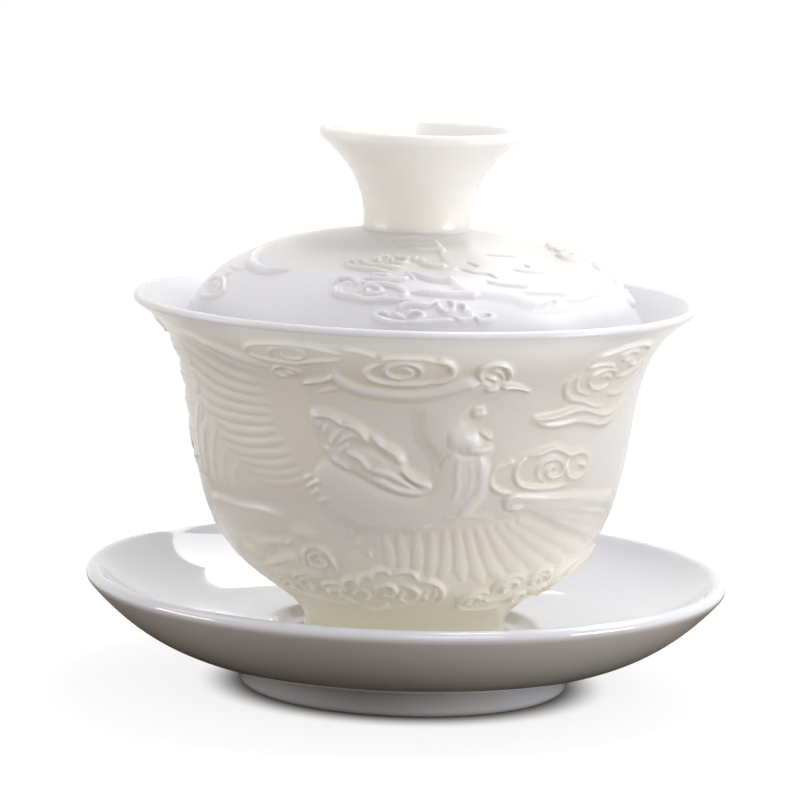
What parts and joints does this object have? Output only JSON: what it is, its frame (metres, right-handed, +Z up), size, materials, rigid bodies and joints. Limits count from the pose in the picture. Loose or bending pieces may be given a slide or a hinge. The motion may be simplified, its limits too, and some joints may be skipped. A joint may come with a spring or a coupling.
{
  "type": "gaiwan",
  "caption": "Lidded porcelain tea bowl on a saucer: flared bowl with raised bird and cloud relief, domed lid with hollow ring knob, dished saucer with a well; for steeping and pouring tea.",
  "frame": {"origin": "on the table, at the middle of the saucer's foot ring, on the common axis of the saucer, bowl and lid", "axes": "+Z up along that axis; the bird's head on the bowl faces -Y and +X, as the picture shows it from -Y"},
  "size_m": [0.1124, 0.1124, 0.0982],
  "materials": {
    "saucer_glaze": "gloss",
    "bowl_glaze": "satin",
    "lid_glaze": "satin",
    "knob_glaze": "satin"
  },
  "bodies": {
    "saucer": {"saucer": "saucer_glaze"},
    "bowl": {"bowl": "bowl_glaze"},
    "lid": {"lid": "lid_glaze", "lid_knob": "knob_glaze"}
  },
  "joints": [
    {"name": "bowl_lift", "type": "slide", "parent": "saucer", "child": "bowl", "axis": [0, 0, 1], "range_m": [0, 0.04]},
    {"name": "lid_lift", "type": "slide", "parent": "bowl", "child": "lid", "axis": [0, 0, 1], "range_m": [0, 0.05]}
  ]
}
